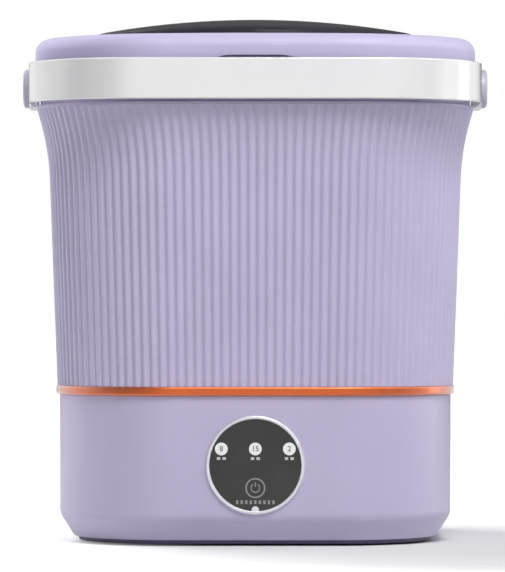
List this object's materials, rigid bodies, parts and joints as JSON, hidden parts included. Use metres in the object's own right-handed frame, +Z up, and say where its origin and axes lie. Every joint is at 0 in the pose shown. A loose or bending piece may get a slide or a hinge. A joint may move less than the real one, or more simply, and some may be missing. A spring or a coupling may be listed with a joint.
{
  "type": "single-tub washing machine",
  "caption": "Portable bucket-shaped single-tub washing machine: reeded lavender casing, round touch panel, lift-off lid with smoked window, swing carry handle and belt-driven pulsator.",
  "frame": {"origin": "on the floor under the middle of the machine", "axes": "+Z up, control panel faces -Y, +X to the right of someone who faces the panel"},
  "size_m": [0.342, 0.3311, 0.38],
  "materials": {
    "lavender_plastic": "fine satin",
    "white_plastic": "satin",
    "tub_plastic": "satin",
    "pulsator_plastic": "satin",
    "copper_trim": "polished",
    "smoked_window": "polished translucent",
    "panel_lens": "polished",
    "bezel_silver": "satin",
    "dark_plastic": "matt",
    "grey_plastic": "matt",
    "rubber": "matt",
    "steel": "satin",
    "circuit_board": "satin"
  },
  "bodies": {
    "machine": {"base_housing": "lavender_plastic", "bottom_cover": "dark_plastic", "rubber_feet": "rubber", "bottom_screws": "steel", "trim_ring": "copper_trim", "outer_casing": "lavender_plastic", "wash_tub": "tub_plastic", "rim_collar": "lavender_plastic", "rim_screws": "steel", "base_deck": "grey_plastic", "deck_screws": "steel", "bearing_housing": "grey_plastic", "housing_screws": "steel", "upper_bearing": "steel", "lower_bearing": "steel", "shaft_seal": "rubber", "motor_bracket": "steel", "bracket_posts": "steel", "bracket_screws": "steel", "motor_body": "steel", "motor_screws": "steel", "drive_belt": "rubber", "panel_lens": "panel_lens", "panel_bezel": "bezel_silver", "panel_carrier": "dark_plastic", "touch_pads": "rubber", "control_board": "circuit_board", "board_components": "dark_plastic", "board_screws": "steel", "power_lead": "dark_plastic", "motor_lead": "dark_plastic", "dc_jack": "dark_plastic", "dc_jack_nut": "dark_plastic", "drain_elbow": "grey_plastic", "drain_spigot": "grey_plastic", "drain_strainer": "tub_plastic", "pivot_screws": "steel"},
    "handle": {"carry_handle": "white_plastic", "handle_corners": "white_plastic", "handle_arms": "white_plastic", "pivot_caps": "lavender_plastic"},
    "lid": {"lid_frame": "lavender_plastic", "lid_liner": "tub_plastic", "lid_window": "smoked_window", "lid_seal": "rubber"},
    "agitator": {"pulsator": "pulsator_plastic", "pulsator_screw": "steel", "pulsator_cap": "pulsator_plastic", "drive_spindle": "steel", "drive_pulley": "grey_plastic", "pulley_nut": "steel"},
    "motor_rotor": {"motor_shaft": "steel", "motor_pulley": "grey_plastic"},
    "drain_plug": {"drain_stopper": "rubber"}
  },
  "joints": [
    {"name": "handle_swing", "type": "hinge", "parent": "machine", "child": "handle", "pos_m": [0, 0, 0.3301], "axis": [-1, 0, 0], "range_deg": [0, 180]},
    {"name": "lid_lift", "type": "slide", "parent": "machine", "child": "lid", "axis": [0, 0, 1], "range_m": [0, 0.08]},
    {"name": "pulsator_spin", "type": "hinge", "parent": "machine", "child": "agitator", "pos_m": [0, 0, 0.1], "axis": [0, 0, 1], "continuous": true},
    {"name": "motor_spin", "type": "hinge", "parent": "machine", "child": "motor_rotor", "pos_m": [0, 0.084, 0.06], "axis": [0, 0, 1], "continuous": true},
    {"name": "drain_stopper_pull", "type": "slide", "parent": "machine", "child": "drain_plug", "axis": [0, 1, 0], "range_m": [0, 0.03]}
  ],
  "couplings": [
    {"joint": "motor_spin", "follows": "pulsator_spin", "ratio": 4}
  ]
}
